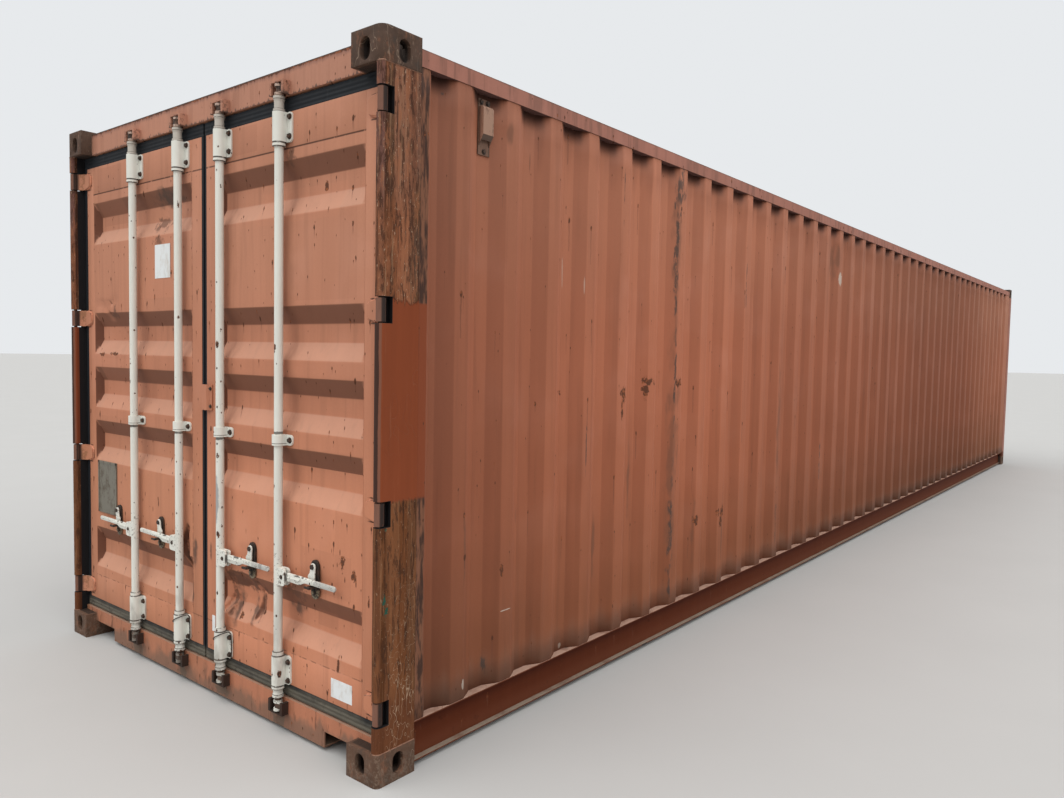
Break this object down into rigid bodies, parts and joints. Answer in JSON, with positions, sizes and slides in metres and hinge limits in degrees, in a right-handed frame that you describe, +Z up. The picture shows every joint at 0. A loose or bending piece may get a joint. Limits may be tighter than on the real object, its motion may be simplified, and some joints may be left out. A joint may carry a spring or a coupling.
{
  "type": "shipping container",
  "caption": "Long corrugated steel shipping container with hollow cargo space, hinged double doors at one end, and turning lock rods with lift handles and catches.",
  "frame": {"origin": "on the ground under the middle of the box", "axes": "+Z up, +Y along the box away from the cargo doors, +X towards the right-hand side seen from in front of the doors"},
  "size_m": [2.438, 12.192, 2.591],
  "materials": {
    "frame_paint": "matt, weathered",
    "door_paint": "matt, weathered",
    "gear_paint": "chipped, satin",
    "cast_steel": "rusty",
    "gasket_rubber": "matt",
    "plywood": "worn"
  },
  "bodies": {
    "container": {"rear_post_right": "frame_paint", "rear_post_left": "frame_paint", "front_posts": "frame_paint", "door_header": "door_paint", "door_sill": "door_paint", "bottom_corner_fittings": "cast_steel", "top_corner_fittings": "cast_steel", "top_side_rails": "frame_paint", "bottom_side_rails": "frame_paint", "front_top_rail": "frame_paint", "front_sill": "frame_paint", "side_wall_right": "frame_paint", "side_wall_left": "frame_paint", "front_wall": "frame_paint", "roof_panel": "frame_paint", "roof_end_plates": "frame_paint", "cross_members": "frame_paint", "gooseneck_tunnel": "frame_paint", "floor_boards": "plywood", "wall_vents": "frame_paint", "hinge_pins": "cast_steel", "cam_keepers": "gear_paint"},
    "door_right": {"door_leaf_right": "door_paint", "door_gasket_right": "gasket_rubber", "hinge_blades_right": "door_paint", "rod_brackets_right": "gear_paint", "handle_retainers_right": "cast_steel", "lock_plate": "door_paint"},
    "door_left": {"door_leaf_left": "door_paint", "door_gasket_left": "gasket_rubber", "hinge_blades_left": "door_paint", "rod_brackets_left": "gear_paint", "handle_retainers_left": "cast_steel"},
    "rod_1": {"lock_rod_1": "gear_paint"},
    "handle_1": {"door_handle_1": "gear_paint"},
    "catch_1": {"handle_catch_1": "gear_paint"},
    "rod_2": {"lock_rod_2": "gear_paint"},
    "handle_2": {"door_handle_2": "gear_paint"},
    "catch_2": {"handle_catch_2": "gear_paint"},
    "rod_3": {"lock_rod_3": "gear_paint"},
    "handle_3": {"door_handle_3": "gear_paint"},
    "catch_3": {"handle_catch_3": "gear_paint"},
    "rod_4": {"lock_rod_4": "gear_paint"},
    "handle_4": {"door_handle_4": "gear_paint"},
    "catch_4": {"handle_catch_4": "gear_paint"}
  },
  "joints": [
    {"name": "door_right_hinge", "type": "hinge", "parent": "container", "child": "door_right", "pos_m": [1.196, -6.074, 1.304], "axis": [0, 0, 1], "range_deg": [0, 265]},
    {"name": "door_left_hinge", "type": "hinge", "parent": "container", "child": "door_left", "pos_m": [-1.196, -6.074, 1.304], "axis": [0, 0, -1], "range_deg": [0, 265]},
    {"name": "rod_1_turn", "type": "hinge", "parent": "door_left", "child": "rod_1", "pos_m": [-0.59, -6.062, 1.3], "axis": [0, 0, -1], "range_deg": [-100, 0]},
    {"name": "handle_1_lift", "type": "hinge", "parent": "rod_1", "child": "handle_1", "pos_m": [-0.63, -6.063, 0.632], "axis": [0, -1, 0], "range_deg": [-6, 0]},
    {"name": "catch_1_swivel", "type": "hinge", "parent": "door_left", "child": "catch_1", "pos_m": [-0.797, -6.0505, 0.697], "axis": [0, -1, 0], "range_deg": [-110, 0]},
    {"name": "rod_2_turn", "type": "hinge", "parent": "door_left", "child": "rod_2", "pos_m": [-0.17, -6.062, 1.3], "axis": [0, 0, -1], "range_deg": [-100, 0]},
    {"name": "handle_2_lift", "type": "hinge", "parent": "rod_2", "child": "handle_2", "pos_m": [-0.21, -6.063, 0.632], "axis": [0, -1, 0], "range_deg": [-6, 0]},
    {"name": "catch_2_swivel", "type": "hinge", "parent": "door_left", "child": "catch_2", "pos_m": [-0.377, -6.0505, 0.697], "axis": [0, -1, 0], "range_deg": [-110, 0]},
    {"name": "rod_3_turn", "type": "hinge", "parent": "door_right", "child": "rod_3", "pos_m": [0.17, -6.062, 1.3], "axis": [0, 0, 1], "range_deg": [-100, 0]},
    {"name": "handle_3_lift", "type": "hinge", "parent": "rod_3", "child": "handle_3", "pos_m": [0.21, -6.063, 0.632], "axis": [0, 1, 0], "range_deg": [-6, 0]},
    {"name": "catch_3_swivel", "type": "hinge", "parent": "door_right", "child": "catch_3", "pos_m": [0.377, -6.0505, 0.697], "axis": [0, 1, 0], "range_deg": [-110, 0]},
    {"name": "rod_4_turn", "type": "hinge", "parent": "door_right", "child": "rod_4", "pos_m": [0.59, -6.062, 1.3], "axis": [0, 0, 1], "range_deg": [-100, 0]},
    {"name": "handle_4_lift", "type": "hinge", "parent": "rod_4", "child": "handle_4", "pos_m": [0.63, -6.063, 0.632], "axis": [0, 1, 0], "range_deg": [-6, 0]},
    {"name": "catch_4_swivel", "type": "hinge", "parent": "door_right", "child": "catch_4", "pos_m": [0.797, -6.0505, 0.697], "axis": [0, 1, 0], "range_deg": [-110, 0]}
  ]
}
